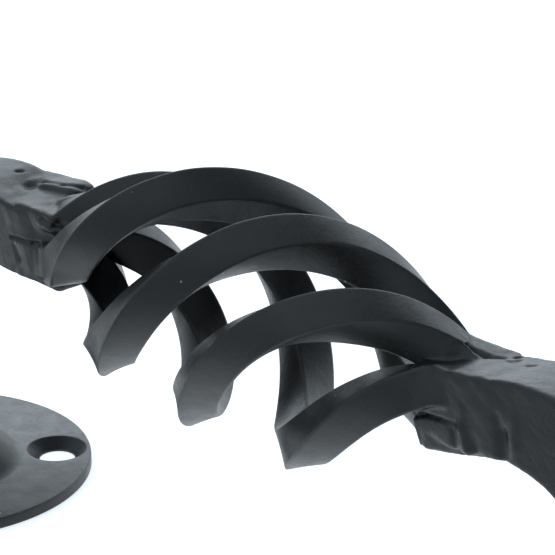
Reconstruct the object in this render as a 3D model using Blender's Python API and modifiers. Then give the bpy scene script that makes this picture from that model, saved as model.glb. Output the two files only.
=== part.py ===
"""Basket-twist pull handle: a hand-forged cage of square rods on two arched legs, each riveted to a round rose.

Origin: on the mounting face, midway between the two roses. +X runs along the handle, +Z away from the surface
it is fixed to, and -Y is the front. Lengths are in metres.
"""

from math import atan2, cos, pi, radians, sin, sqrt

import bmesh
import bpy
from mathutils import Vector

MM = 0.001

# ---- whole handle ----
LEG_CENTRES = 176 * MM  # between the two leg axes
AXIS_HEIGHT = 55 * MM  # cage axis above the mounting face
FIT_GAP = 0.3 * MM  # between pieces that touch

# ---- cage ----
ROD_COUNT = 4
ROD_SIDE = 5.9 * MM  # square rod
ROD_CORNER = 0.6 * MM  # rounding of its long edges
BUNDLE_PITCH = 6.3 * MM  # between neighbouring rod centres where they are welded together
CAGE_SPAN = 93 * MM  # between the points where the rods part
WELD_LENGTH = 4 * MM  # straight bundle at each end of the cage
CAGE_RADIUS = 16.2 * MM  # from the cage axis to a rod's centre, at the middle
BULGE_POWER = 1.16  # 1 is a sine bulge, larger is slimmer towards the ends
TURNS = 1.0  # left-handed turns each rod makes
MIDDLE_TWIST = 0.13  # how much tighter the twist is at the middle than at the quarter points
END_TWIST = 0.02  # how much tighter the twist is at the ends
SECTION_LEAN = 36.0  # degrees the middle of each rod leans out of line with its radius
SECTION_SPREAD = 54.0  # degrees that lean falls over half the cage, before the welds square it up
ROD_RINGS = 64

# ---- legs ----
BAR_SIDE = 12 * MM
BAR_CORNER = 1.0 * MM
BEND_RADIUS = 29 * MM  # bar centreline
BEND_STEPS = 14
TENON_RADIUS = 4.0 * MM
RIVET_HEAD_RADIUS = 6.2 * MM
RIVET_HEAD_HEIGHT = 2.0 * MM

# ---- roses ----
ROSE_RADIUS = 29 * MM
ROSE_THICKNESS = 2.0 * MM
ROSE_EDGE = 0.3 * MM
DOME_RADIUS = 17.4 * MM  # where the dome meets the flat rim
SEAT_RADIUS = 9.0 * MM  # flat top the leg stands on
SEAT_HEIGHT = 7.5 * MM  # top of the seat above the mounting face
DOME_STEPS = 6
ROSE_SIDES = 60

# ---- screw holes in each rose ----
HOLE_COUNT = 3
HOLE_CIRCLE_RADIUS = 23.1 * MM
FIRST_HOLE_ANGLE = radians(55)  # from the line between the roses, towards the back
HOLE_RADIUS = 3.1 * MM
COUNTERSINK_RADIUS = 5.3 * MM
COUNTERSINK_DEPTH = 1.7 * MM
HOLE_SIDES = 32

# ---- roves, the washers the tenons are riveted over ----
ROVE_RADIUS = 7.5 * MM
ROVE_THICKNESS = 1.2 * MM
ROVE_SIDES = 36

MERGE = 0.000001


def clear_scene():
    for obj in list(bpy.data.objects):
        bpy.data.objects.remove(obj, do_unlink=True)
    for group in list(bpy.data.collections):
        bpy.data.collections.remove(group)


def new_group(name, hidden=False):
    group = bpy.data.collections.new(name)
    bpy.context.scene.collection.children.link(group)
    group.hide_render = hidden
    return group


def add_mesh(name, group, vertices, edges=(), faces=()):
    mesh = bpy.data.meshes.new(name)
    mesh.from_pydata([tuple(v) for v in vertices], [tuple(e) for e in edges], [tuple(f) for f in faces])
    mesh.update()
    obj = bpy.data.objects.new(name, mesh)
    group.objects.link(obj)
    return obj


def hide_cutter(obj):
    obj.hide_render = True
    obj.display_type = "WIRE"
    return obj


def paint(obj, name, colour, metallic, roughness):
    material = bpy.data.materials.new(name)
    material.use_nodes = True
    shader = material.node_tree.nodes["Principled BSDF"]
    shader.inputs["Base Color"].default_value = (*colour, 1.0)
    shader.inputs["Metallic"].default_value = metallic
    shader.inputs["Roughness"].default_value = roughness
    obj.data.materials.clear()
    obj.data.materials.append(material)


def freeze(obj, name, group):
    """The evaluated shape of an object as a plain mesh object, with coincident points merged."""
    graph = bpy.context.evaluated_depsgraph_get()
    graph.update()
    mesh = bpy.data.meshes.new_from_object(obj.evaluated_get(graph))
    mesh.name = name
    shape = bmesh.new()
    shape.from_mesh(mesh)
    bmesh.ops.remove_doubles(shape, verts=shape.verts, dist=MERGE)
    bmesh.ops.recalc_face_normals(shape, faces=shape.faces)
    shape.to_mesh(mesh)
    shape.free()
    done = bpy.data.objects.new(name, mesh)
    group.objects.link(done)
    done.matrix_world = obj.matrix_world.copy()
    return done


def shade_round(obj, angle):
    """Smooth shading that keeps edges sharper than the given angle crisp."""
    obj.data.polygons.foreach_set("use_smooth", [True] * len(obj.data.polygons))
    obj.data.set_sharp_from_angle(angle=radians(angle))


def square_profile(name, side, corner, steps, group):
    """A closed curve round a square with rounded corners, used as the section of a swept bar."""
    curve = bpy.data.curves.new(name, "CURVE")
    curve.dimensions = "2D"
    points = []
    inset = side / 2 - corner
    for quarter in range(4):
        start = pi / 2 * quarter
        centre = (inset * (1, -1, -1, 1)[quarter], inset * (1, 1, -1, -1)[quarter])
        for step in range(steps + 1):
            angle = start + pi / 2 * step / steps
            points.append((centre[0] + corner * cos(angle), centre[1] + corner * sin(angle), 0.0))
    spline = curve.splines.new("POLY")
    spline.points.add(len(points) - 1)
    for point, place in zip(spline.points, points):
        point.co = (*place, 1.0)
    spline.use_cyclic_u = True
    obj = bpy.data.objects.new(name, curve)
    group.objects.link(obj)
    return obj


def swept_bar(name, path, tilts, twist, profile, group, hidden):
    """A solid bar of the given section along a path of points."""
    curve = bpy.data.curves.new(name + "_path", "CURVE")
    curve.dimensions = "3D"
    curve.twist_mode = twist
    curve.bevel_mode = "OBJECT"
    curve.bevel_object = profile
    curve.use_fill_caps = True
    spline = curve.splines.new("POLY")
    spline.points.add(len(path) - 1)
    for point, place, tilt in zip(spline.points, path, tilts):
        point.co = (*place, 1.0)
        point.tilt = tilt
    track = bpy.data.objects.new(name + "_path", curve)
    hidden.objects.link(track)
    bar = freeze(track, name, group)
    hide_cutter(track)
    return bar


def lathe(name, profile, sides, group):
    """A solid of revolution about Z from a closed profile of (radius, height) points."""
    count = len(profile)
    edges = [(i, (i + 1) % count) for i in range(count)]
    if profile[0][0] == 0 and profile[-1][0] == 0:
        edges.pop()
    track = add_mesh(name + "_profile", group, [(r, 0.0, z) for r, z in profile], edges)
    screw = track.modifiers.new("Screw", "SCREW")
    screw.axis = "Z"
    screw.angle = 2 * pi
    screw.steps = sides
    screw.render_steps = sides
    screw.use_merge_vertices = True
    screw.merge_threshold = MERGE
    screw.use_smooth_shade = True
    solid = freeze(track, name, group)
    bpy.data.objects.remove(track, do_unlink=True)
    return solid


def apply_boolean(obj, other, operation):
    cut = obj.modifiers.new(operation.title(), "BOOLEAN")
    cut.object = other
    cut.operation = operation
    cut.solver = "EXACT"
    graph = bpy.context.evaluated_depsgraph_get()
    graph.update()
    mesh = bpy.data.meshes.new_from_object(obj.evaluated_get(graph))
    obj.modifiers.clear()
    obj.data = mesh


# ---- cage rods ----
def bulge(along):
    """Distance from the cage axis to a rod's centre, for along = -0.5 to 0.5 over the cage."""
    bundle_radius = BUNDLE_PITCH / sqrt(2)
    return bundle_radius + (CAGE_RADIUS - bundle_radius) * max(cos(pi * along), 0.0) ** BULGE_POWER


def turned(along):
    """Angle a rod has gone round the cage axis from the middle, in radians."""
    middle = MIDDLE_TWIST * sin(4 * pi * along) / (4 * pi)
    ends = -END_TWIST * sin(2 * pi * along) / (2 * pi)
    return 2 * pi * TURNS * (along + middle + ends)


def section_angle(along):
    """Angle of a rod's section away from its radius: square with the bundle at both ends."""
    half = 2 * along
    free = SECTION_LEAN - 45.0 - SECTION_SPREAD * half
    return radians(45.0 + free * (1.0 - half**2))


def rod_station(index, x):
    """Centre point and outward direction of a rod at a distance x from the middle of the cage."""
    along = min(max(x / CAGE_SPAN, -0.5), 0.5)
    angle = radians(45.0 + 90.0 * index) + pi + turned(along)
    outward = Vector((0.0, -sin(angle), -cos(angle)))
    return Vector((x, 0.0, 0.0)) + bulge(along) * outward, outward, section_angle(along)


def rod_path(index):
    length = CAGE_SPAN / 2 + WELD_LENGTH
    inner = [CAGE_SPAN * (step / ROD_RINGS - 0.5) for step in range(ROD_RINGS + 1)]
    places = [-length, -length + WELD_LENGTH / 2, *inner, length - WELD_LENGTH / 2, length]
    stations = [rod_station(index, x) for x in places]
    path = [s[0] for s in stations]
    tilts = []
    for number, (centre, outward, lean) in enumerate(stations):
        before = path[max(number - 1, 0)]
        after = path[min(number + 1, len(path) - 1)]
        tangent = (after - before).normalized()
        radial = (outward - outward.dot(tangent) * tangent).normalized()
        across = tangent.cross(radial)
        face = -sin(lean) * radial + cos(lean) * across
        up = (Vector((0.0, 0.0, 1.0)) - tangent.z * tangent).normalized()
        tilts.append(atan2(up.cross(face).dot(tangent), up.dot(face)))
    raised = [p + Vector((0.0, 0.0, AXIS_HEIGHT)) for p in path]
    return raised, tilts


# ---- legs ----
def leg_path():
    """Centreline of the right leg, from its weld to the cage down to its seat on the rose."""
    leg_x = LEG_CENTRES / 2
    weld_x = CAGE_SPAN / 2 + WELD_LENGTH + FIT_GAP
    bend = Vector((leg_x - BEND_RADIUS, 0.0, AXIS_HEIGHT - BEND_RADIUS))
    path = [Vector((weld_x, 0.0, AXIS_HEIGHT))]
    for step in range(BEND_STEPS + 1):
        angle = pi / 2 * (1 - step / BEND_STEPS)
        path.append(bend + BEND_RADIUS * Vector((cos(angle), 0.0, sin(angle))))
    path.append(Vector((leg_x, 0.0, SEAT_HEIGHT + FIT_GAP)))
    return path


def tenon_profile():
    """Round tenon below the leg, with its end hammered over into a rivet head under the rove."""
    top = SEAT_HEIGHT + 4 * MM
    head_top = SEAT_HEIGHT - ROSE_THICKNESS - ROVE_THICKNESS - 2 * FIT_GAP
    head_end = head_top - RIVET_HEAD_HEIGHT
    return [
        (0.0, top),
        (TENON_RADIUS, top),
        (TENON_RADIUS, head_top),
        (RIVET_HEAD_RADIUS - 0.4 * MM, head_top),
        (RIVET_HEAD_RADIUS, head_top - 0.4 * MM),
        (RIVET_HEAD_RADIUS * 0.86, head_top - 1.1 * MM),
        (RIVET_HEAD_RADIUS * 0.55, head_end + 0.3 * MM),
        (RIVET_HEAD_RADIUS * 0.25, head_end),
        (0.0, head_end),
    ]


# ---- roses ----
def dome_height(radius):
    """Height of the rose's top face above its rim: flat on the seat, then easing down to the rim."""
    share = (radius - SEAT_RADIUS) / (DOME_RADIUS - SEAT_RADIUS)
    share = min(max(share, 0.0), 1.0)
    ease = 1 - share * share * (3 - 2 * share)
    return (SEAT_HEIGHT - ROSE_THICKNESS) * (0.35 * (1 - share) + 0.65 * ease)


def rose_profile():
    bore = TENON_RADIUS + FIT_GAP
    spread = [SEAT_RADIUS + (DOME_RADIUS - SEAT_RADIUS) * i / DOME_STEPS for i in range(DOME_STEPS + 1)]
    top = [(r, ROSE_THICKNESS + dome_height(r)) for r in spread]
    under = [(r - 0.45 * ROSE_THICKNESS, dome_height(r)) for r in spread]
    outer = [
        (ROSE_RADIUS - ROSE_EDGE, ROSE_THICKNESS),
        (ROSE_RADIUS, ROSE_THICKNESS - ROSE_EDGE),
        (ROSE_RADIUS, ROSE_EDGE / 2),
        (ROSE_RADIUS - ROSE_EDGE / 2, 0.0),
    ]
    return [(bore, SEAT_HEIGHT), *top, *outer, *reversed(under), (bore, SEAT_HEIGHT - ROSE_THICKNESS)]


def screw_hole_profile():
    floor = ROSE_THICKNESS - COUNTERSINK_DEPTH
    above = ROSE_THICKNESS + 3 * MM
    return [
        (0.0, above),
        (COUNTERSINK_RADIUS, above),
        (COUNTERSINK_RADIUS, ROSE_THICKNESS),
        (HOLE_RADIUS, floor),
        (HOLE_RADIUS, -1 * MM),
        (0.0, -1 * MM),
    ]


def rove_profile():
    bore = TENON_RADIUS + FIT_GAP
    top = SEAT_HEIGHT - ROSE_THICKNESS - FIT_GAP
    low = top - ROVE_THICKNESS
    edge = 0.2 * MM
    return [(bore, top), (ROVE_RADIUS - edge, top), (ROVE_RADIUS, top - edge), (ROVE_RADIUS, low), (bore, low)]


def build():
    clear_scene()
    parts = new_group("basket_twist_pull_handle")
    cutters = new_group("cutters", hidden=True)
    black = (0.045, 0.048, 0.052)

    rod_section = hide_cutter(square_profile("rod_section", ROD_SIDE, ROD_CORNER, 1, cutters))
    bar_section = hide_cutter(square_profile("bar_section", BAR_SIDE, BAR_CORNER, 2, cutters))

    for index in range(ROD_COUNT):
        path, tilts = rod_path(index)
        rod = swept_bar(f"cage_rod_{index + 1}", path, tilts, "Z_UP", rod_section, parts, cutters)
        paint(rod, f"cage_rod_{index + 1}", black, 0.0, 0.5)
        shade_round(rod, 35)

    for side, sign in (("left", -1), ("right", 1)):
        centre = sign * LEG_CENTRES / 2

        path = [Vector((sign * p.x, p.y, p.z)) for p in leg_path()]
        leg = swept_bar(f"leg_{side}", path, [0.0] * len(path), "MINIMUM", bar_section, parts, cutters)
        tenon = lathe(f"tenon_{side}", tenon_profile(), 36, cutters)
        tenon.location.x = centre
        apply_boolean(leg, tenon, "UNION")
        hide_cutter(tenon)
        paint(leg, f"leg_{side}", black, 0.0, 0.5)
        shade_round(leg, 35)

        rose = lathe(f"rose_{side}", rose_profile(), ROSE_SIDES, parts)
        rose.location.x = centre
        for number in range(HOLE_COUNT):
            hole = lathe(f"screw_hole_{side}_{number + 1}", screw_hole_profile(), HOLE_SIDES, cutters)
            angle = FIRST_HOLE_ANGLE + 2 * pi * number / HOLE_COUNT
            hole.location.x = centre - sign * HOLE_CIRCLE_RADIUS * cos(angle)
            hole.location.y = HOLE_CIRCLE_RADIUS * sin(angle)
            apply_boolean(rose, hole, "DIFFERENCE")
            hide_cutter(hole)
        paint(rose, f"rose_{side}", black, 0.0, 0.5)
        shade_round(rose, 30)

        rove = lathe(f"rove_{side}", rove_profile(), ROVE_SIDES, parts)
        rove.location.x = centre
        paint(rove, f"rove_{side}", black, 0.0, 0.5)
        shade_round(rove, 30)


build()
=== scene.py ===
"""Looks for the basket-twist pull handle: forged cage, legs, roses and roves in a satin black coat."""

from math import cos, pi, radians, sin

import bmesh
import bpy
import numpy as np
from mathutils import Matrix, Vector, noise


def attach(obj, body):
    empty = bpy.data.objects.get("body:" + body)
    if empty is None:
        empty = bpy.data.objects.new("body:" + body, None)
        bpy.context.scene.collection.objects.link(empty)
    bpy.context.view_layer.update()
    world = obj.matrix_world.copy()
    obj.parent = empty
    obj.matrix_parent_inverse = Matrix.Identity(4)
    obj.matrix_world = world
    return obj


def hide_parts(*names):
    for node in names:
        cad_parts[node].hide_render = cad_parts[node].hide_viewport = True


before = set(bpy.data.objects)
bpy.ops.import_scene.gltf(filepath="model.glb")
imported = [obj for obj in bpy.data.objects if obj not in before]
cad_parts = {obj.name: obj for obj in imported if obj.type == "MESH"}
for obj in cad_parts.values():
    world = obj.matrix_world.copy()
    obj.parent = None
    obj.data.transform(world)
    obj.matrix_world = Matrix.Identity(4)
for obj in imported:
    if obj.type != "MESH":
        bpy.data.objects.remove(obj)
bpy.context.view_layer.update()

MM = 0.001

# ---- the handle, in millimetres from the middle of the mounting face ----
AXIS_HEIGHT = 55.0
LEG_CENTRE = 88.0
CORNER_STEPS = 3  # facets in each rounded corner of a bar or rod
MERGE_DISTANCE = 1e-6  # metres

# ---- cage: length, swell, turning and lean of the square rods ----
# These numbers are not a design. From here to ROD_WANDER, all but the weld, the bundle, the rounding, the
# steps and the unevenness are the rounded output of a program that fitted the rods to the photographed outlines.
SPAN = 90.6
MIDDLE_RADIUS = 15.74
END_RADIUS = 2.94
BULGE_POWER = 1.196
SHOULDER = 2.04
END_SWELL = -0.47
ROOT_WAVE = 0.19
SWELL_WAVE = 0.09
TURNS = 0.939
TURN_WAVES = (-0.048, 0.176, 0.093)
START_TURN = -1.6
FIRST_ROD_ANGLE = 45
LEAN = (33.8, -20.6, 2.5, -73.1, 16.8, 44.3)
WELD_LEAN = 45.0
ROD_DEEP = 6.53
ROD_WIDE = 6.21
ROD_CORNER = 0.42
ROD_END = 42.4
ROD_STEP = 0.4
TANGENT_REACH = 0.2
WELD_FROM = 41.0
WELD_TO = 50.0
BUNDLE_RADIUS = 4.24
BUNDLE_SIDE = 6.0
CAGE_HALF = 46.65
CAGE_SAG = (-0.16, 0.26)
CAGE_SHIFT = (-0.3, 0.5)
CAGE_TILT = (0.19, 0.47)
# The front lower rod settles into the left weld earlier than the rest.
EARLY_ROD = 0
EARLY_FROM = 34.0
EARLY_TO = 46.0
# Hammered unevenness of the rods' faces: height in mm, scale per mm, distance between the rods' patterns.
ROD_UNEVEN = 0.05
ROD_UNEVEN_SCALE = 0.16
ROD_UNEVEN_STEP = 9.0

# Fitted as well. How each rod wanders from the common spiral: turn, turn slope and turn bow in
# degrees, swell, swell slope and swell wave in mm, lean and lean slope in degrees.
ROD_WANDER = (
    (-0.8, -2.7, -1.0, 0.25, -0.33, 0.30, 3.8, 6.9),
    (3.0, -1.9, 0.8, 1.04, 1.39, 0.22, -2.9, 5.6),
    (2.8, 2.8, 1.6, -0.38, -0.79, -0.82, -2.1, -1.5),
    (-4.5, 0.0, -0.5, -0.48, -1.19, 0.20, 3.0, -16.7),
)

# ---- legs ----
BAR = 12.0
BAR_CORNER = 0.7
BAR_START = 43.0
NECK_HALF = 5.4  # half width of the bar where it starts inside the weld
NECK_LENGTH = 6.0
BEND_RADIUS = 29.0
BEND_STEPS = 60
STRAIGHT_STEPS = 24
LEG_GAP = 0.1  # between the leg's shoulder and the seat of the rose
# How the hammered bar strays on each side: distance from the middle, then top face, bottom face
# and sideways in mm, and how far its back is rolled up in degrees.
BAR_STRAY = {
    -1: (
        (43, -0.6, -0.6, -0.4, 0.0),
        (52, -0.3, -0.6, -0.4, 1.5),
        (60, 0.8, -0.3, 0.2, 4.5),
        (69, 1.5, 0.3, 0.3, 4.5),
        (87, 0.0, 0.0, 0.0, 0.0),
    ),
    1: (
        (43, 0.3, 0.3, -0.1, 0.0),
        (52, 1.2, 0.7, -0.1, -1.5),
        (60, 2.5, 1.7, 0.2, -3.0),
        (69, 4.0, 1.4, 0.3, -3.0),
        (87, 0.0, 0.0, 0.0, 0.0),
    ),
}

# Rod ends inside the weld: where they run, how much fuller they are than the rods, and how much
# they are drawn in at the cage's end and at the bar's end.
STUB_FROM = 39.0
STUB_TO = 49.6
STUB_FULLER = 0.03
STUB_ROOT = 0.16
STUB_ROOT_TO = 41.5
STUB_TAPER = 0.5
STUB_TAPER_FROM = 45.5

# Lumps where the flattened rod ends lie on the bar, from the middle of the cage:
# start, finish, half width, half height, length of the round end.
LUMPS = {
    -1: (
        ((-60.0, -1.9, 2.0), (-37.6, -2.9, 3.2), 3.1, 2.5, 0.8),
        ((-57.0, -1.4, 4.4), (-40.3, -2.5, 4.9), 4.3, 1.6, 1.8),
        ((-64.0, 3.0, 3.6), (-46.0, 4.8, 4.8), 3.0, 2.6, 3.5),
        ((-59.0, -2.4, -3.0), (-40.6, -3.2, -3.1), 3.2, 3.7, 0.8),
    ),
    1: (
        ((60.0, 4.2, 3.8), (38.4, 3.0, 5.4), 2.5, 2.3, 2.0),
        ((38.0, 3.3, 5.0), (51.3, 4.4, 4.4), 2.5, 2.4, 0.8),
        ((62.0, -1.2, -1.0), (39.4, -2.6, -5.2), 3.0, 3.1, 0.7),
        ((60.0, -1.8, 3.0), (39.5, -2.7, 1.5), 3.0, 3.9, 0.7),
    ),
}
LUMP_STEPS = 32
LUMP_START_SIZE = 0.55
LUMP_GROWS_OVER = 7
LUMP_CORNER = 0.8

# Marks left by the hammer, the vice and the weld seams, from the middle of the cage:
# two ends, half width, depth; a negative depth stands proud.
MARKS = {
    -1: (
        ((-52.6, -6.4, -0.1), (-47.5, -6.4, 0.3), 0.22, 0.8),
        ((-47.5, -6.4, 0.3), (-42.4, -6.4, 1.0), 0.24, 0.8),
        ((-51.9, -6.4, -1.2), (-50.6, -6.4, -3.5), 0.6, 0.18),
        ((-50.6, -6.4, -3.5), (-52.4, -6.4, -6.0), 0.6, 0.18),
        ((-60.6, 1.9, 6.8), (-60.0, 2.4, 6.8), 0.3, 0.5),
        ((-55.6, 0.2, 6.4), (-54.9, 1.9, 6.4), 1.0, 0.5),
        ((-54.4, 2.4, 6.4), (-49.9, 2.9, 6.4), 0.34, 0.5),
        ((-49.9, 2.9, 6.4), (-47.0, 4.7, 6.4), 0.45, 0.5),
        ((-46.4, -3.2, 6.2), (-43.4, -2.6, 6.2), 1.1, 0.3),
        ((-44.0, -6.4, 5.5), (-41.6, -6.4, 4.8), 0.3, 0.7),
        ((-41.6, -6.4, 4.8), (-39.4, -6.2, 5.1), 0.35, 0.9),
    ),
    1: (
        ((38.5, 0.5, 6.8), (43.8, 1.2, 7.2), 0.6, 1.4),
        ((43.8, 1.2, 7.2), (48.0, 1.9, 7.4), 0.5, 1.0),
        ((48.0, 1.9, 7.4), (50.4, 3.2, 7.6), 0.4, 0.5),
        ((51.6, 4.4, 7.6), (51.9, 4.9, 7.6), 0.42, 0.5),
        ((52.8, 3.2, 7.9), (53.2, 3.5, 7.9), 0.4, 0.4),
        ((52.0, 2.4, 7.9), (53.4, 2.4, 7.9), 0.35, 0.4),
        ((56.4, 1.9, 8.3), (57.2, 2.5, 8.4), 0.36, 0.35),
        ((39.6, -5.8, -3.1), (42.5, -5.7, -1.9), 0.24, 0.7),
        ((42.5, -5.7, -1.9), (49.6, -5.5, -0.9), 0.22, 0.7),
        ((50.5, -5.4, 6.6), (51.5, -5.4, 6.7), 0.9, 0.22),
        ((54.5, -5.4, 7.2), (55.5, -5.4, 7.6), 0.7, 0.28),
        ((50.7, -5.5, 1.6), (50.6, -5.5, -1.4), 0.8, -0.25),
        ((50.6, -5.5, -1.4), (52.0, -5.4, -4.6), 0.8, -0.35),
        ((49.2, -5.5, -2.2), (49.9, -5.5, -5.2), 0.6, 0.3),
        ((53.4, -5.4, -2.6), (54.0, -5.4, -4.4), 1.0, 0.3),
        ((57.6, -5.4, 2.6), (58.8, -5.4, 0.2), 0.9, 0.3),
        ((58.8, -5.4, 0.2), (59.2, -5.4, -2.8), 1.0, 0.5),
        ((61.0, -5.4, 2.4), (61.3, -5.4, -1.4), 1.1, -0.25),
        ((39.8, -3.6, -6.6), (41.0, -4.8, -7.4), 0.9, 0.8),
    ),
}
MARK_FALL = 0.9  # how steeply a mark fades past its half width
FRONT_MARK_Y = -5  # marks nearer than this lie on the front face, the others on the top one
THROUGH_FACE = 0.3  # weight of distances measured through the face that carries a mark

# Forged skin: voxel size in mm, smoothing, then each layer of waves as height in mm, waves per mm and seed.
SKIN_VOXEL = 0.3
SKIN_SOFTEN = 0.5
SKIN_SOFTEN_TIMES = 3
LONG_WAVES = (0.10, 0.55, 3)
SHORT_WAVES = (0.045, 1.5, 7)
HAMMER_WAVES = (0.018, 4.0, 11)
WAVE_COUNT = 14
WAVE_SPREAD = (0.5, 1.6)
WAVE_SUM = 4.5
# The long and short waves fade in past the rod ends and fade out along the leg, down to a least share.
WORKED_IN_FROM = 40
WORKED_IN_OVER = 4
WORKED_OUT_AT = 68
WORKED_OUT_OVER = 14
WORKED_LEAST = 0.35

# ---- roses ----
ROSE_RADIUS = 29.0
ROSE_THICKNESS = 2.0
ROSE_EDGE = 0.25
ROSE_EDGE_BULGE = 0.3
ROSE_BORE = 4.3
ROSE_SIDES = 240
DOME_RADIUS = 17.4
DOME_STEPS = 20
DOME_UNDER_INSET = 0.9
DOME_STRAIGHT = 0.35
DOME_ROUNDED = 0.65
SEAT_RADIUS = 9.0
SEAT_HEIGHT = 7.5
HOLE_COUNT = 3
HOLE_CIRCLE = 23.1
FIRST_HOLE_ANGLE = radians(55)
HOLE_RADIUS = 3.1
HOLE_SIDES = 96
SINK_RADIUS = 5.3
SINK_DEPTH = 1.7
CUTTER_TOP = 5.0
CUTTER_BOTTOM = -1.0
SHARP_ANGLE = radians(30)

# ---- tenon and rivet head under each leg: radius, and height from the washer's underside ----
ROVE_THICKNESS = 1.2
ROVE_GAPS = 0.6
HEAD_TOP = SEAT_HEIGHT - ROSE_THICKNESS - ROVE_THICKNESS - ROVE_GAPS
TENON_RADIUS = 4.0
TENON_INTO_LEG = 4
TENON_SIDES = 47
HEAD_PROFILE = ((5.8, 0.0), (6.2, 0.45), (5.4, 1.2), (3.6, 1.75), (1.5, 2.0))

# ---- satin black coat ----
# Noise textures, coarse to fine: scale per metre, detail, roughness.
CLOUD = (70.0, 2.0, 0.55)
PATCH = (330.0, 3.0, 0.55)
PEEL = (1300.0, 3.0, 0.6)
FINE = (4200.0, 2.0, 0.6)
SEED_SHIFT = (0.137, 0.071, 0.053)
# Each pair is where an effect begins and ends, in values of its texture.
CLOUD_BAND = (0.35, 0.65)
PEEL_BAND = (0.45, 0.75)
PEEL_STRENGTH = 0.6
# The rubbed edge band below also carries a painted highlight along the edges.
RUBBED_AND_HIGHLIGHT_BAND = (0.38, 0.66)
RUBBED_AND_HIGHLIGHT_STRENGTH = (0.2, 1.0)
GLOSS_BAND = (0.3, 0.7)
# Pale specks: cells per metre, distances from a cell's middle where a speck ends and is full,
# and the least cell value that gets one.
SPECK_SCALE = 210.0
SPECK_SIZE = (0.05, 0.025)
SPECK_PICK = 0.6
# Edges: radius of the rounded normal in metres, and how well it agrees with the flat normal
# where the coat is untouched and where it is fully rubbed and painted pale as a highlight.
EDGE_RADIUS = 0.00042
EDGE_SAMPLES = 4
EDGE_BAND = (0.99, 0.88)
COAT_IOR = 1.5
COAT_DARK = (0.0036, 0.0044, 0.005, 1)
COAT_LIGHT = (0.0066, 0.0074, 0.0082, 1)
COAT_PEEL = (0.011, 0.012, 0.013, 1)
# Pale edge colour: partly the coat rubbed thin, partly a painted highlight along the edges.
RUBBED_METAL_AND_HIGHLIGHT = (0.14, 0.15, 0.156, 1)
DUST = (0.32, 0.33, 0.34, 1)
GLOSS_SPREAD = (0.33, 0.41)
GLOSS_GRAIN = (-0.03, 0.05)
RUBBED_GLOSS = 0.06
# Heights of the coat's unevenness in metres.
CLOUD_HEIGHT = 0.0003
PATCH_HEIGHT = 0.00004
PEEL_HEIGHT = 0.000022
FINE_HEIGHT = 0.00002

# ---- stage ----
# The camera's place and lens come from the same fit as the cage.
CAMERA_TARGET = Vector((0.603, 3.786, 60.115))
CAMERA_AZIMUTH = 48.063
CAMERA_ELEVATION = 22.149
CAMERA_ROLL = -1.271
CAMERA_DISTANCE = 642.36
CAMERA_LENS = 270.06
CAMERA_SENSOR = 36.0
CAMERA_CLIP = (0.01, 20.0)
FLOOR_HALF = 6.0
FLOOR_FADE = (-0.105, -0.02)
FLOOR_GLOW = (0.0, 0.76)
FLOOR_LIGHT = (0.87, 0.945, 1.0, 1)
FLOOR_TONE = (0.84, 0.87)
FLOOR_ROUGHNESS = 0.9
FLOOR_SPECULAR = 0.1
PAPER_SCALE = 40.0
TENT_COLOUR = (0.82, 0.925, 1.0, 1)
TENT_GLOW = 0.3
# Each soft light in degrees and strength: right of straight behind the handle, rise, half width of
# its core, half width of its rim, strength.
SOFT_LIGHTS = (
    (-4, 26, 13, 34, 1.9),
    (-45, 60, 5, 20, 0.9),
    (-110, 35, 14, 56, 0.6),
    (57, 3, 8, 30, 1.5),
    (28, 12, 8, 46, 0.3),
)


def smooth(low, high, value):
    share = min(max((value - low) / (high - low), 0.0), 1.0)
    return share * share * (3 - 2 * share)


def mix(a, b, share):
    return a + (b - a) * share


def new_object(name, mesh):
    obj = bpy.data.objects.new(name, mesh)
    bpy.context.scene.collection.objects.link(obj)
    return obj


# ---------------------------------------------------------------- cage rods
def rod_station(index, x):
    """Centre, outward direction, lean of the section and its two half sizes, in mm from the cage centre."""
    wander = ROD_WANDER[index]
    turn, turn_slope, turn_bow, swell, swell_slope, swell_wave, lean_more, lean_slope = wander
    along = min(max(x / SPAN, -0.5), 0.5)
    half = 2 * along
    end = 1.0 if x > 0 else -1.0
    weld = smooth(WELD_FROM, WELD_TO, abs(x))

    first, second, third = TURN_WAVES
    wave = first * sin(2 * pi * along) + second * sin(4 * pi * along) / 2
    wave += third * cos(2 * pi * along)
    turns = TURNS * (along + wave / (2 * pi))
    free_turn = radians(START_TURN + turn + turn_slope * half + turn_bow * half**2)
    free_angle = free_turn + 2 * pi * turns
    angle = radians(FIRST_ROD_ANGLE + 90 * index) + pi + mix(free_angle, end * pi, weld)

    arch = max(cos(pi * along), 0.0) ** BULGE_POWER
    bulge = MIDDLE_RADIUS - END_RADIUS + swell + swell_slope * sin(2 * pi * along)
    free_radius = END_RADIUS + bulge * arch
    free_radius += END_SWELL * sin(2 * pi * along) + ROOT_WAVE * sin(3 * pi * along) ** 2
    free_radius += (swell_wave + SWELL_WAVE) * sin(4 * pi * along)
    free_radius += SHOULDER * sin(2 * pi * along) ** 2
    radius = mix(free_radius, BUNDLE_RADIUS, weld)

    free_lean = lean_more + lean_slope * half
    free_lean += sum(value * half**power for power, value in enumerate(LEAN))
    early = x < 0 and index == EARLY_ROD
    settled = smooth(EARLY_FROM, EARLY_TO, -x) if early else weld
    lean = radians(mix(free_lean, WELD_LEAN, settled))

    outward = Vector((0.0, -sin(angle), -cos(angle)))
    share = x / CAGE_HALF
    drift_y, drift_z = (
        shift + tilt * share + sag * (1 - share**2)
        for shift, tilt, sag in zip(CAGE_SHIFT, CAGE_TILT, CAGE_SAG)
    )
    centre = Vector((x, drift_y, drift_z)) + radius * outward
    deep = mix(ROD_DEEP, BUNDLE_SIDE, weld) / 2
    wide = mix(ROD_WIDE, BUNDLE_SIDE, weld) / 2
    return centre, outward, lean, deep, wide


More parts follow.
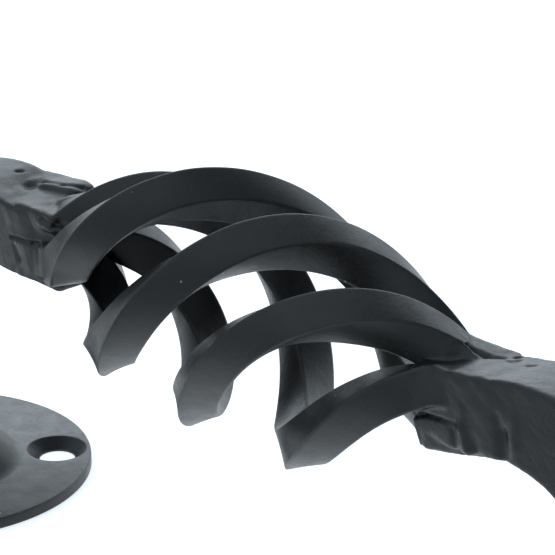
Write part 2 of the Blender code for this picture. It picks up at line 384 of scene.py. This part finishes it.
def rounded_square(deep, wide, corner):
    points = []
    for quarter in range(4):
        cx = (deep - corner) * (1, -1, -1, 1)[quarter]
        cy = (wide - corner) * (1, 1, -1, -1)[quarter]
        for step in range(CORNER_STEPS + 1):
            a = pi / 2 * (quarter + step / CORNER_STEPS)
            points.append((cx + corner * cos(a), cy + corner * sin(a)))
    return points


def tube(name, rings):
    """A closed tube through rings of points, given in millimetres."""
    count = len(rings[0])
    vertices = [Vector(p) * MM for ring in rings for p in ring]
    faces = []
    for i in range(len(rings) - 1):
        for j in range(count):
            n = (j + 1) % count
            faces.append((i * count + j, i * count + n, (i + 1) * count + n, (i + 1) * count + j))
    faces.append(tuple(range(count - 1, -1, -1)))
    last = (len(rings) - 1) * count
    faces.append(tuple(last + j for j in range(count)))
    mesh = bpy.data.meshes.new(name)
    mesh.from_pydata(vertices, [], faces)
    mesh.update()
    shape = bmesh.new()
    shape.from_mesh(mesh)
    bmesh.ops.recalc_face_normals(shape, faces=shape.faces)
    shape.to_mesh(mesh)
    shape.free()
    mesh.polygons.foreach_set("use_smooth", [True] * len(mesh.polygons))
    return new_object(name, mesh)


def rod_rings(index, x_from, x_to, grow=None):
    count = max(int(round(abs(x_to - x_from) / ROD_STEP)), 2)
    rings = []
    up = Vector((0, 0, AXIS_HEIGHT))
    pattern = Vector((index * ROD_UNEVEN_STEP, 0, 0))
    for i in range(count + 1):
        x = mix(x_from, x_to, i / count)
        centre, outward, lean, deep, wide = rod_station(index, x)
        before = rod_station(index, x - TANGENT_REACH)[0]
        after = rod_station(index, x + TANGENT_REACH)[0]
        tangent = (after - before).normalized()
        radial = (outward - outward.dot(tangent) * tangent).normalized()
        across = tangent.cross(radial)
        ux = cos(lean) * radial + sin(lean) * across
        uy = -sin(lean) * radial + cos(lean) * across
        more = grow(x) if grow else 0.0
        ring = []
        for a, b in rounded_square(deep + more, wide + more, ROD_CORNER):
            point = centre + up + a * ux + b * uy
            way = (point - centre - up).normalized()
            ring.append(point + ROD_UNEVEN * noise.noise(point * ROD_UNEVEN_SCALE + pattern) * way)
        rings.append(ring)
    return rings


def make_rod(index):
    return tube(f"forged_cage_rod_{index + 1}", rod_rings(index, -ROD_END, ROD_END))


# ---------------------------------------------------------------- legs
def leg_rings(sign):
    bend_x = LEG_CENTRE - BEND_RADIUS
    bend_z = AXIS_HEIGHT - BEND_RADIUS
    path = []
    for i in range(STRAIGHT_STEPS):
        path.append((mix(BAR_START, bend_x, i / STRAIGHT_STEPS), AXIS_HEIGHT, 0.0))
    for i in range(BEND_STEPS + 1):
        a = pi / 2 * i / BEND_STEPS
        path.append((bend_x + BEND_RADIUS * sin(a), bend_z + BEND_RADIUS * cos(a), a))
    for i in range(1, STRAIGHT_STEPS + 1):
        path.append((LEG_CENTRE, mix(bend_z, SEAT_HEIGHT + LEG_GAP, i / STRAIGHT_STEPS), pi / 2))
    away, *columns = zip(*BAR_STRAY[sign])
    side = Vector((0, 1, 0))
    rings = []
    for x, z, a in path:
        normal = Vector((sin(a), 0, cos(a)))
        top, bottom, sideways, rolled = (float(np.interp(x, away, column)) for column in columns)
        half = mix(NECK_HALF, BAR / 2, smooth(BAR_START, BAR_START + NECK_LENGTH, x))
        tall = half + (top - bottom) / 2
        centre = Vector((x, 0, z)) + sideways * side + (top + bottom) / 2 * normal
        roll = radians(rolled)
        rolled_up = cos(roll) * normal - sin(roll) * side
        rolled_side = cos(roll) * side + sin(roll) * normal
        ring = [centre + u * rolled_up + v * rolled_side for u, v in rounded_square(tall, half, BAR_CORNER)]
        rings.append([Vector((sign * p.x, p.y, p.z)) for p in ring])
    return rings


def stub_growth(x):
    """How much fuller than the free rod its end is inside the weld."""
    root = STUB_ROOT * (1 - smooth(STUB_FROM, STUB_ROOT_TO, abs(x)))
    taper = STUB_TAPER * smooth(STUB_TAPER_FROM, STUB_TO, abs(x))
    return STUB_FULLER - root - taper


def lump_rings(start, finish, across, height, end):
    """A short rounded-square lump of forged metal that grows out of the bar and rounds off over its end."""
    start, finish = Vector(start), Vector(finish)
    length = (finish - start).length
    forward = (finish - start).normalized()
    side = forward.cross(Vector((0, 0, 1))).normalized()
    up = side.cross(forward)
    rings = []
    for i in range(LUMP_STEPS + 1):
        share = i / LUMP_STEPS
        left = (1 - share) * length
        size = mix(LUMP_START_SIZE, 1.0, smooth(0, LUMP_GROWS_OVER, share * length))
        if left < end:
            size *= 0.5 + 0.5 * (1 - (1 - left / end) ** 2) ** 0.5
        centre = start + forward * length * share + Vector((0, 0, AXIS_HEIGHT))
        section = rounded_square(across, height, LUMP_CORNER)
        rings.append([centre + a * size * side + b * size * up for a, b in section])
    return rings


def tenon_rings(sign):
    """Shouldered tenon that ends in a hammered rivet head."""
    profile = [(TENON_RADIUS, SEAT_HEIGHT + TENON_INTO_LEG), (TENON_RADIUS, HEAD_TOP)]
    profile += [(radius, HEAD_TOP - drop) for radius, drop in HEAD_PROFILE]
    around = np.linspace(0, 2 * pi, TENON_SIDES + 1)[:-1]
    rings = []
    for radius, z in profile:
        centre = Vector((sign * LEG_CENTRE, 0, z))
        rings.append([centre + Vector((radius * cos(a), radius * sin(a), 0)) for a in around])
    return rings


def distance_to_segment(points, start, finish):
    """Distance measured along the face that carries the mark: the front face, or the top one."""
    on_front = start[1] < FRONT_MARK_Y
    flat = np.array((1.0, THROUGH_FACE, 1.0) if on_front else (1.0, 1.0, THROUGH_FACE))
    points, start, finish = points * flat, np.array(start) * flat, np.array(finish) * flat
    way = finish - start
    share = np.clip((points - start) @ way / (way @ way), 0.0, 1.0)
    return np.linalg.norm(points - start - share[:, None] * way, axis=1)


def wavy(points, height, scale, seed):
    """Smooth unevenness from a few crossed waves."""
    rng = np.random.default_rng(seed)
    total = np.zeros(len(points))
    for _ in range(WAVE_COUNT):
        direction = rng.normal(size=3)
        direction *= scale * rng.uniform(*WAVE_SPREAD) / np.linalg.norm(direction)
        total += np.sin(points @ direction + rng.uniform(0, 2 * pi))
    return height * (total / WAVE_SUM)


def forge(leg):
    """Fuses the leg's pieces into one skin and softens it."""
    remesh = leg.modifiers.new("forge", "REMESH")
    remesh.mode = "VOXEL"
    remesh.voxel_size = SKIN_VOXEL * MM
    soften = leg.modifiers.new("soften", "SMOOTH")
    soften.factor = SKIN_SOFTEN
    soften.iterations = SKIN_SOFTEN_TIMES
    graph = bpy.context.evaluated_depsgraph_get()
    solid = bpy.data.meshes.new_from_object(leg.evaluated_get(graph))
    leg.modifiers.clear()
    leg.data = solid


def wear_marks(solid, sign):
    """Moves the skin in and out for the hammer's waves, the seams and the dents."""
    count = len(solid.vertices)
    points = np.empty(count * 3)
    solid.vertices.foreach_get("co", points)
    points = points.reshape(-1, 3) / MM
    normals = np.empty(count * 3)
    solid.vertex_normals.foreach_get("vector", normals)
    normals = normals.reshape(-1, 3)
    level = points - np.array((0, 0, AXIS_HEIGHT))
    away = np.abs(points[:, 0])
    worked = np.clip((WORKED_OUT_AT - away) / WORKED_OUT_OVER, WORKED_LEAST, 1.0)
    worked *= np.clip((away - WORKED_IN_FROM) / WORKED_IN_OVER, 0, 1)
    long_waves, short_waves, hammer_waves = (
        wavy(points, height, scale, seed + sign)
        for height, scale, seed in (LONG_WAVES, SHORT_WAVES, HAMMER_WAVES)
    )
    move = (long_waves + short_waves) * worked
    move += hammer_waves
    for start, finish, width, depth in MARKS[sign]:
        reach = distance_to_segment(level, start, finish) / width
        move -= depth * np.exp(-(reach**2) * MARK_FALL)
    points += normals * move[:, None]
    solid.vertices.foreach_set("co", (points * MM).ravel())
    solid.polygons.foreach_set("use_smooth", [True] * len(solid.polygons))
    solid.update()


def make_leg(side, sign):
    pieces = [tube("bar", leg_rings(sign))]
    for index in range(len(ROD_WANDER)):
        pieces.append(tube("stub", rod_rings(index, sign * STUB_FROM, sign * STUB_TO, stub_growth)))
    for lump in LUMPS[sign]:
        pieces.append(tube("lump", lump_rings(*lump)))
    pieces.append(tube("tenon", tenon_rings(sign)))
    shape = bmesh.new()
    for piece in pieces:
        shape.from_mesh(piece.data)
        bpy.data.objects.remove(piece, do_unlink=True)
    mesh = bpy.data.meshes.new(f"forged_leg_{side}")
    shape.to_mesh(mesh)
    shape.free()
    leg = new_object(f"forged_leg_{side}", mesh)
    forge(leg)
    wear_marks(leg.data, sign)
    return leg


# ---------------------------------------------------------------- roses
def lathe(name, profile, sides):
    count = len(profile)
    vertices = []
    for i in range(sides):
        a = 2 * pi * i / sides
        vertices += [Vector((r * cos(a), r * sin(a), z)) * MM for r, z in profile]
    faces = []
    for i in range(sides):
        n = (i + 1) % sides
        for j in range(count):
            k = (j + 1) % count
            faces.append((i * count + j, n * count + j, n * count + k, i * count + k))
    mesh = bpy.data.meshes.new(name)
    mesh.from_pydata(vertices, [], faces)
    mesh.update()
    obj = new_object(name, mesh)
    shape = bmesh.new()
    shape.from_mesh(mesh)
    bmesh.ops.remove_doubles(shape, verts=shape.verts, dist=MERGE_DISTANCE)
    bmesh.ops.recalc_face_normals(shape, faces=shape.faces)
    shape.to_mesh(mesh)
    shape.free()
    return obj


def dome(radius):
    """Height of the dome over the flange at a distance from the rose's centre."""
    share = min(max((radius - SEAT_RADIUS) / (DOME_RADIUS - SEAT_RADIUS), 0.0), 1.0)
    ease = 1 - smooth(SEAT_RADIUS, DOME_RADIUS, radius)
    return (SEAT_HEIGHT - ROSE_THICKNESS) * (DOME_STRAIGHT * (1 - share) + DOME_ROUNDED * ease)


def cut_hole(rose, side, sign, number):
    profile = [
        (0.0, CUTTER_TOP),
        (SINK_RADIUS, CUTTER_TOP),
        (SINK_RADIUS, ROSE_THICKNESS),
        (HOLE_RADIUS, ROSE_THICKNESS - SINK_DEPTH),
        (HOLE_RADIUS, CUTTER_BOTTOM),
        (0.0, CUTTER_BOTTOM),
    ]
    hole = lathe(f"hole_{side}_{number}", profile, HOLE_SIDES)
    a = FIRST_HOLE_ANGLE + 2 * pi * number / HOLE_COUNT
    x = sign * LEG_CENTRE - sign * HOLE_CIRCLE * cos(a)
    hole.location = Vector((x, HOLE_CIRCLE * sin(a), 0.0)) * MM
    cut = rose.modifiers.new("hole", "BOOLEAN")
    cut.object = hole
    cut.operation = "DIFFERENCE"
    cut.solver = "EXACT"
    bpy.context.view_layer.update()
    graph = bpy.context.evaluated_depsgraph_get()
    mesh = bpy.data.meshes.new_from_object(rose.evaluated_get(graph))
    rose.modifiers.clear()
    rose.data = mesh
    bpy.data.objects.remove(hole, do_unlink=True)


def make_rose(side, sign):
    spread = [SEAT_RADIUS + (DOME_RADIUS - SEAT_RADIUS) * i / DOME_STEPS for i in range(DOME_STEPS + 1)]
    top = [(r, ROSE_THICKNESS + dome(r)) for r in spread]
    under = [(r - DOME_UNDER_INSET, dome(r)) for r in spread]
    outer = [
        (ROSE_RADIUS - ROSE_EDGE, ROSE_THICKNESS),
        (ROSE_RADIUS - ROSE_EDGE * ROSE_EDGE_BULGE, ROSE_THICKNESS - ROSE_EDGE * ROSE_EDGE_BULGE),
        (ROSE_RADIUS, ROSE_THICKNESS - ROSE_EDGE),
        (ROSE_RADIUS, ROSE_EDGE / 2),
        (ROSE_RADIUS - ROSE_EDGE / 2, 0.0),
    ]
    bore = [(ROSE_BORE, SEAT_HEIGHT), (ROSE_BORE, SEAT_HEIGHT - ROSE_THICKNESS)]
    profile = [bore[0], *top, *outer, *reversed(under), bore[1]]
    rose = lathe(f"domed_rose_{side}", profile, ROSE_SIDES)
    rose.location = Vector((sign * LEG_CENTRE, 0, 0)) * MM
    for number in range(HOLE_COUNT):
        cut_hole(rose, side, sign, number)
    rose.data.polygons.foreach_set("use_smooth", [True] * len(rose.data.polygons))
    rose.data.set_sharp_from_angle(angle=SHARP_ANGLE)
    return rose


# ---------------------------------------------------------------- finish
def add_node(tree, kind, **values):
    node = tree.nodes.new(kind)
    for name, value in values.items():
        if hasattr(node, name):
            setattr(node, name, value)
        else:
            node.inputs[name.replace("_", " ")].default_value = value
    return node


def black_coat(name, seed, grain=1.0):
    """Satin black over forged iron: fine cast grain, slow unevenness, paler edges that are partly rubbed coat
    and partly a painted highlight, a few specks.
    """
    material = bpy.data.materials.new(name)
    material.use_nodes = True
    tree = material.node_tree
    link = tree.links.new
    shader = tree.nodes["Principled BSDF"]
    place = add_node(tree, "ShaderNodeTexCoord")
    shift = add_node(tree, "ShaderNodeVectorMath", operation="ADD")
    shift.inputs[1].default_value = tuple(seed * step for step in SEED_SHIFT)
    link(place.outputs["Object"], shift.inputs[0])

    def texture(scale, detail, rough):
        node = add_node(tree, "ShaderNodeTexNoise", Scale=scale, Detail=detail, Roughness=rough)
        link(shift.outputs["Vector"], node.inputs["Vector"])
        return node.outputs["Fac"]

    def remap(value, low, high, to_low, to_high, soft=False):
        node = add_node(tree, "ShaderNodeMapRange", From_Min=low, From_Max=high, To_Min=to_low, To_Max=to_high)
        if soft:
            node.interpolation_type = "SMOOTHSTEP"
        link(value, node.inputs["Value"])
        return node.outputs["Result"]

    def math(kind, first, second):
        node = add_node(tree, "ShaderNodeMath", operation=kind)
        for slot, value in enumerate((first, second)):
            if isinstance(value, float):
                node.inputs[slot].default_value = value
            else:
                link(value, node.inputs[slot])
        return node.outputs["Value"]

    def blend(share, first, second):
        node = add_node(tree, "ShaderNodeMix", data_type="RGBA")
        for slot, value in ((6, first), (7, second)):
            if isinstance(value, tuple):
                node.inputs[slot].default_value = value
            else:
                link(value, node.inputs[slot])
        link(share, node.inputs[0])
        return node.outputs[2]

    cloud = texture(*CLOUD)
    patch = texture(*PATCH)
    peel = texture(*PEEL)
    fine = texture(*FINE)

    # Edges: where the rounded normal leaves the flat one, the coat is rubbed thin and painted paler as a
    # highlight.
    round_edge = add_node(tree, "ShaderNodeBevel", samples=EDGE_SAMPLES, Radius=EDGE_RADIUS)
    flat = add_node(tree, "ShaderNodeNewGeometry")
    match = add_node(tree, "ShaderNodeVectorMath", operation="DOT_PRODUCT")
    link(round_edge.outputs["Normal"], match.inputs[0])
    link(flat.outputs["Normal"], match.inputs[1])
    edge = remap(match.outputs["Value"], *EDGE_BAND, 0.0, 1.0, soft=True)
    rubbed_and_highlight = math("MULTIPLY", edge, remap(patch, *RUBBED_AND_HIGHLIGHT_BAND, *RUBBED_AND_HIGHLIGHT_STRENGTH))

    # Specks of pale dust in some of the cells.
    specks = add_node(tree, "ShaderNodeTexVoronoi", Scale=SPECK_SCALE)
    link(shift.outputs["Vector"], specks.inputs["Vector"])
    dot = remap(specks.outputs["Distance"], *SPECK_SIZE, 0.0, 1.0)
    pick = add_node(tree, "ShaderNodeSeparateColor")
    link(specks.outputs["Color"], pick.inputs["Color"])
    dust = math("MULTIPLY", dot, math("GREATER_THAN", pick.outputs["Red"], SPECK_PICK))

    coat = blend(remap(cloud, *CLOUD_BAND, 0.0, 1.0), COAT_DARK, COAT_LIGHT)
    coat = blend(remap(peel, *PEEL_BAND, 0.0, PEEL_STRENGTH), coat, COAT_PEEL)
    # Paler edges: partly rubbed coat, partly a painted highlight.
    coat = blend(rubbed_and_highlight, coat, RUBBED_METAL_AND_HIGHLIGHT)
    coat = blend(dust, coat, DUST)
    link(coat, shader.inputs["Base Color"])

    spread = remap(patch, *GLOSS_BAND, *GLOSS_SPREAD)
    gloss = math("ADD", spread, remap(peel, *GLOSS_BAND, *GLOSS_GRAIN))
    gloss = math("SUBTRACT", gloss, math("MULTIPLY", rubbed_and_highlight, RUBBED_GLOSS))
    link(gloss, shader.inputs["Roughness"])
    shader.inputs["IOR"].default_value = COAT_IOR

    normal = round_edge.outputs["Normal"]
    layers = (
        (cloud, CLOUD_HEIGHT),
        (patch, PATCH_HEIGHT),
        (peel, PEEL_HEIGHT * grain),
        (fine, FINE_HEIGHT * grain),
    )
    for height, distance in layers:
        bump = add_node(tree, "ShaderNodeBump", Strength=1.0, Distance=distance)
        link(height, bump.inputs["Height"])
        link(normal, bump.inputs["Normal"])
        normal = bump.outputs["Normal"]
    link(normal, shader.inputs["Normal"])
    return material


def put(obj, material, node):
    obj.data.materials.clear()
    obj.data.materials.append(material)
    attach(obj, "root")
    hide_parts(node)


# ---------------------------------------------------------------- stage
def add_camera():
    data = bpy.data.cameras.new("camera")
    data.sensor_width = CAMERA_SENSOR
    data.lens = CAMERA_LENS
    data.clip_start, data.clip_end = CAMERA_CLIP
    camera = new_object("camera", data)
    azimuth, elevation = radians(CAMERA_AZIMUTH), radians(CAMERA_ELEVATION)
    flat = cos(elevation)
    back = Vector((sin(azimuth) * flat, -cos(azimuth) * flat, sin(elevation)))
    right = (-back).cross(Vector((0, 0, 1))).normalized()
    up = right.cross(-back)
    roll = radians(CAMERA_ROLL)
    x_axis = cos(roll) * right + sin(roll) * up
    y_axis = -sin(roll) * right + cos(roll) * up
    turn = Matrix((x_axis, y_axis, back)).transposed().to_4x4()
    camera.matrix_world = Matrix.Translation((CAMERA_TARGET + CAMERA_DISTANCE * back) * MM) @ turn
    bpy.context.scene.camera = camera


def new_ramp(tree, value, low, high, to_low, to_high):
    ramp = add_node(tree, "ShaderNodeMapRange", interpolation_type="SMOOTHSTEP")
    for name, number in (("From Min", low), ("From Max", high), ("To Min", to_low), ("To Max", to_high)):
        ramp.inputs[name].default_value = number
    tree.links.new(value, ramp.inputs["Value"])
    return ramp.outputs["Result"]


def add_floor():
    """A white sheet lit from below like a light table, dimmer well in front of the handle."""
    mesh = bpy.data.meshes.new("floor")
    corners = [(x * FLOOR_HALF, y * FLOOR_HALF, 0) for x, y in ((-1, -1), (1, -1), (1, 1), (-1, 1))]
    mesh.from_pydata(corners, [], [(0, 1, 2, 3)])
    floor = new_object("floor", mesh)
    material = bpy.data.materials.new("floor_white")
    material.use_nodes = True
    tree = material.node_tree
    shader = tree.nodes["Principled BSDF"]
    shader.inputs["Roughness"].default_value = FLOOR_ROUGHNESS
    shader.inputs["Specular IOR Level"].default_value = FLOOR_SPECULAR
    shader.inputs["Emission Color"].default_value = FLOOR_LIGHT
    place = add_node(tree, "ShaderNodeTexCoord")
    split = add_node(tree, "ShaderNodeSeparateXYZ")
    tree.links.new(place.outputs["Object"], split.inputs["Vector"])
    glow = new_ramp(tree, split.outputs["Y"], *FLOOR_FADE, *FLOOR_GLOW)
    tree.links.new(glow, shader.inputs["Emission Strength"])
    paper = add_node(tree, "ShaderNodeTexNoise", Scale=PAPER_SCALE, Detail=2.0)
    tree.links.new(place.outputs["Object"], paper.inputs["Vector"])
    tone = add_node(tree, "ShaderNodeMapRange")
    tone.inputs["To Min"].default_value, tone.inputs["To Max"].default_value = FLOOR_TONE
    tree.links.new(paper.outputs["Fac"], tone.inputs["Value"])
    tree.links.new(tone.outputs["Result"], shader.inputs["Base Color"])
    mesh.materials.append(material)


def add_world():
    """A dim studio tent with soft lights in it, each a bright patch that fades out at its rim."""
    world = bpy.data.worlds.new("studio")
    world.use_nodes = True
    tree = world.node_tree
    place = add_node(tree, "ShaderNodeTexCoord")
    total = None
    for turn, rise, core, rim, strength in SOFT_LIGHTS:
        azimuth, elevation = radians(CAMERA_AZIMUTH - turn), radians(rise)
        toward = add_node(tree, "ShaderNodeVectorMath", operation="DOT_PRODUCT")
        flat = cos(elevation)
        toward.inputs[1].default_value = (-sin(azimuth) * flat, cos(azimuth) * flat, sin(elevation))
        tree.links.new(place.outputs["Generated"], toward.inputs[0])
        edges = cos(radians(rim)), cos(radians(core))
        patch = new_ramp(tree, toward.outputs["Value"], *edges, 0.0, strength)
        add = add_node(tree, "ShaderNodeMath", operation="ADD")
        add.inputs[0].default_value = TENT_GLOW
        if total:
            tree.links.new(total, add.inputs[0])
        tree.links.new(patch, add.inputs[1])
        total = add.outputs["Value"]
    background = tree.nodes["Background"]
    background.inputs["Color"].default_value = TENT_COLOUR
    tree.links.new(total, background.inputs["Strength"])
    bpy.context.scene.world = world


cage_coat = black_coat("cage_black", 1, grain=1.6)
leg_coat = black_coat("leg_black", 2, grain=2.2)
rose_coat = black_coat("rose_black", 3, grain=1.3)
rove_coat = black_coat("rove_black", 4)

for index in range(len(ROD_WANDER)):
    put(make_rod(index), cage_coat, f"cage_rod_{index + 1}")
for side, sign in (("left", -1), ("right", 1)):
    put(make_leg(side, sign), leg_coat, f"leg_{side}")
    put(make_rose(side, sign), rose_coat, f"rose_{side}")
    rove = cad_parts[f"rove_{side}"]
    rove.data.materials.clear()
    rove.data.materials.append(rove_coat)

add_camera()
add_floor()
add_world()
bpy.context.scene.view_settings.view_transform = "Standard"
